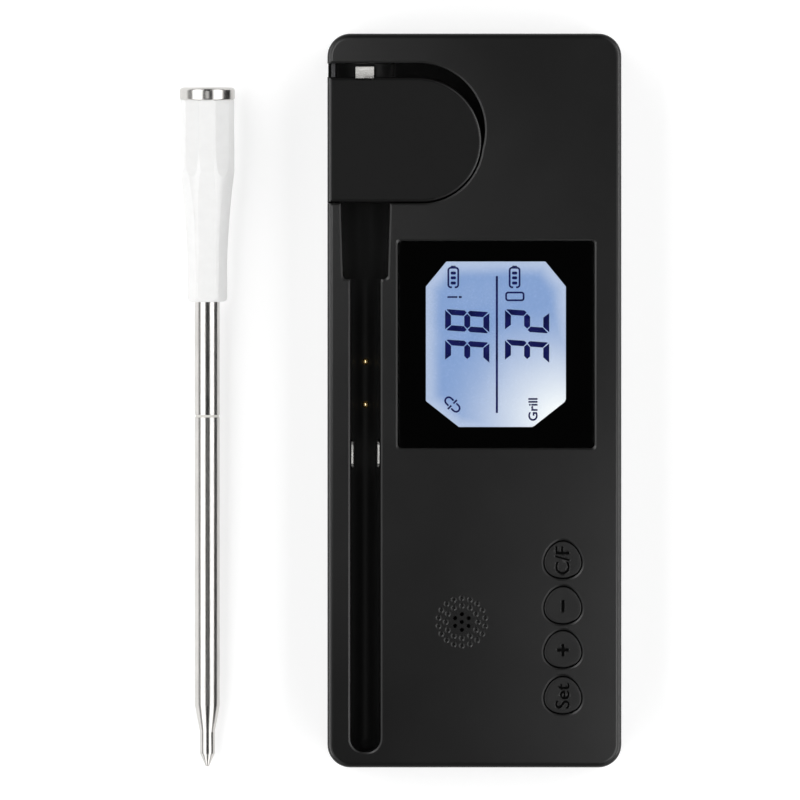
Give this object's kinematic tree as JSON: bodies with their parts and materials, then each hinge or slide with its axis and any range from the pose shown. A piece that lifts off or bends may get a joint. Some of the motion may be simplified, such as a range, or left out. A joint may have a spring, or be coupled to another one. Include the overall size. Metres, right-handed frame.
{
  "type": "wireless meat thermometer",
  "caption": "Wireless meat thermometer: a steel probe with a ceramic handle beside its black charging dock with display, buttons, probe channel and hinged cover.",
  "frame": {"origin": "middle of the rest pad's underside on the dock's back, where the dock stands on a surface", "axes": "+Z out of the dock's face, +Y along the dock from its socket end to its cover end, +X from the probe's side to the buttons' side"},
  "size_m": [0.0885, 0.1468, 0.0182],
  "materials": {
    "satin_black_plastic": "satin",
    "black_tray_plastic": "matte",
    "button_black_plastic": "satin",
    "black_silicone": "matte",
    "foam": "matte",
    "clear_lens": "gloss",
    "black_print": "gloss",
    "lcd": "gloss",
    "light_guide": "gloss",
    "polished_steel": "polished",
    "spring_steel": "brushed",
    "screw_steel": "black oxide",
    "gold_plate": "polished",
    "white_ceramic": "satin",
    "ring_polymer": "matte",
    "circuit_board": "satin",
    "chip_plastic": "matte",
    "cell_foil": "satin",
    "magnet_nickel": "satin"
  },
  "bodies": {
    "dock": {"front_shell": "satin_black_plastic", "rear_shell": "satin_black_plastic", "rest_pad": "black_silicone", "case_screws": "screw_steel", "probe_tray": "black_tray_plastic", "cap_contact": "spring_steel", "stem_clip": "spring_steel", "tray_rivets": "spring_steel", "pogo_block": "chip_plastic", "pogo_barrels": "gold_plate", "hinge_pin": "screw_steel", "catch_plate": "screw_steel", "display_lens": "clear_lens", "lens_mask": "black_print", "lcd_glass": "lcd", "backlight_panel": "light_guide", "zebra_strips": "black_silicone", "lcd_frame": "chip_plastic", "main_board": "circuit_board", "board_screws": "screw_steel", "tact_switches": "chip_plastic", "buzzer": "chip_plastic", "buzzer_gasket": "foam", "usb_socket": "spring_steel", "radio_module": "spring_steel", "dock_antenna": "white_ceramic", "battery_pack": "cell_foil", "battery_lead": "chip_plastic", "holding_magnets": "magnet_nickel"},
    "cover": {"handle_cover": "satin_black_plastic", "cover_magnet": "magnet_nickel"},
    "upper_pin": {"upper_contact_pin": "gold_plate"},
    "lower_pin": {"lower_contact_pin": "gold_plate"},
    "cf_key": {"cf_button": "button_black_plastic"},
    "minus_key": {"minus_button": "button_black_plastic"},
    "plus_key": {"plus_button": "button_black_plastic"},
    "set_key": {"set_button": "button_black_plastic"},
    "probe": {"probe_handle": "white_ceramic", "probe_cap": "polished_steel", "cap_plug": "ring_polymer", "upper_stem": "polished_steel", "stem_ring": "ring_polymer", "lower_stem": "polished_steel", "probe_tip": "polished_steel", "probe_board": "circuit_board", "probe_cell": "cell_foil", "tip_sensor": "chip_plastic", "handle_sensor": "chip_plastic", "probe_antenna": "gold_plate"}
  },
  "joints": [
    {"name": "cover_hinge", "type": "hinge", "parent": "dock", "child": "cover", "pos_m": [-0.0278, 0.05215, 0.0034], "axis": [0, -1, 0], "range_deg": [0, 90]},
    {"name": "upper_pin_travel", "type": "slide", "parent": "dock", "child": "upper_pin", "axis": [0, 0, -1], "range_m": [0, 0.0009], "stiffness_N_per_m": 250, "springref_m": -0.0006},
    {"name": "lower_pin_travel", "type": "slide", "parent": "dock", "child": "lower_pin", "axis": [0, 0, -1], "range_m": [0, 0.0009], "stiffness_N_per_m": 250, "springref_m": -0.0006},
    {"name": "cf_press", "type": "slide", "parent": "dock", "child": "cf_key", "axis": [0, 0, -1], "range_m": [0, 0.0006], "stiffness_N_per_m": 600, "springref_m": -0.0004},
    {"name": "minus_press", "type": "slide", "parent": "dock", "child": "minus_key", "axis": [0, 0, -1], "range_m": [0, 0.0006], "stiffness_N_per_m": 600, "springref_m": -0.0004},
    {"name": "plus_press", "type": "slide", "parent": "dock", "child": "plus_key", "axis": [0, 0, -1], "range_m": [0, 0.0006], "stiffness_N_per_m": 600, "springref_m": -0.0004},
    {"name": "set_press", "type": "slide", "parent": "dock", "child": "set_key", "axis": [0, 0, -1], "range_m": [0, 0.0006], "stiffness_N_per_m": 600, "springref_m": -0.0004},
    {"name": "probe_lift", "type": "slide", "parent": "dock", "child": "probe", "axis": [0.6786, 0.0989, 0.7278], "range_m": [0, 0.0467]}
  ]
}
